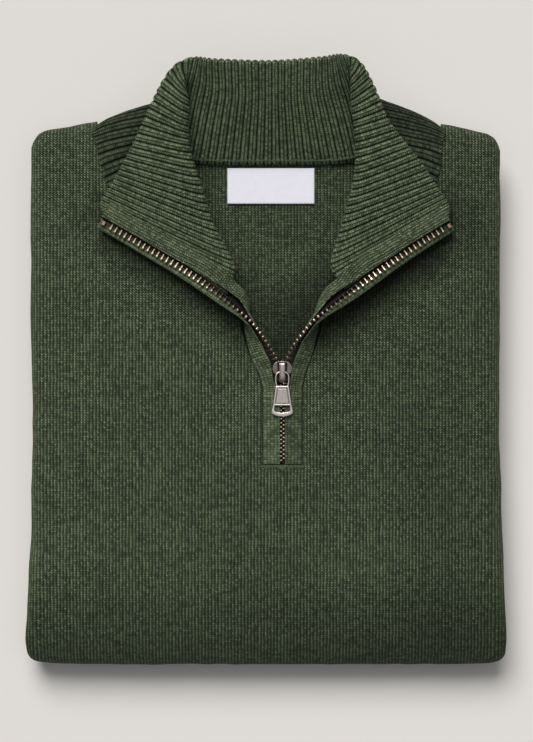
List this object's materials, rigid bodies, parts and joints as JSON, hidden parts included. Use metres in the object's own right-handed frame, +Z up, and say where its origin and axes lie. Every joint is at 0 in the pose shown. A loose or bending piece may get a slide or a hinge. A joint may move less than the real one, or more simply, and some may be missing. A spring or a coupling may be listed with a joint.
{
  "type": "quarter zip sweater",
  "caption": "Knitted sweater with a ribbed stand collar and a short front zip, folded in half and laid flat with its collar turned open.",
  "frame": {"origin": "middle of the footprint, on the surface that the folded sweater lies on", "axes": "+Z up, +Y from the folded bottom edge towards the collar, +X towards the right of the picture"},
  "size_m": [0.2776, 0.3487, 0.0734],
  "materials": {
    "back_body": "plain knit",
    "collar": "rib knit",
    "facing_left": "plain knit",
    "facing_right": "plain knit",
    "folded_layers": "plain knit",
    "front_body": "plain knit",
    "hem_rib_back": "rib knit",
    "hem_rib_front": "rib knit",
    "neck_label": "woven satin",
    "placket_left": "plain knit",
    "placket_right": "plain knit",
    "top_stop_left": "antique brass",
    "top_stop_right": "antique brass",
    "zip_chain_closed": "antique brass",
    "zip_chain_left": "antique brass",
    "zip_chain_right": "antique brass",
    "zip_pull": "antique nickel",
    "zip_slider": "antique nickel",
    "zip_tape_left": "woven tape",
    "zip_tape_right": "woven tape"
  },
  "bodies": {
    "sweater": {"back_body": "back_body", "collar": "collar", "facing_left": "facing_left", "facing_right": "facing_right", "folded_layers": "folded_layers", "front_body": "front_body", "hem_rib_back": "hem_rib_back", "hem_rib_front": "hem_rib_front", "neck_label": "neck_label", "placket_left": "placket_left", "placket_right": "placket_right", "top_stop_left": "top_stop_left", "top_stop_right": "top_stop_right", "zip_chain_closed": "zip_chain_closed", "zip_chain_left": "zip_chain_left", "zip_chain_right": "zip_chain_right", "zip_slider": "zip_slider", "zip_tape_left": "zip_tape_left", "zip_tape_right": "zip_tape_right"},
    "pull": {"zip_pull": "zip_pull"}
  },
  "joints": [
    {"name": "pull_hinge", "type": "hinge", "parent": "sweater", "child": "pull", "pos_m": [0.00938, -0.00482, 0.03853], "axis": [-1, 0, 0], "range_deg": [0, 160]}
  ]
}
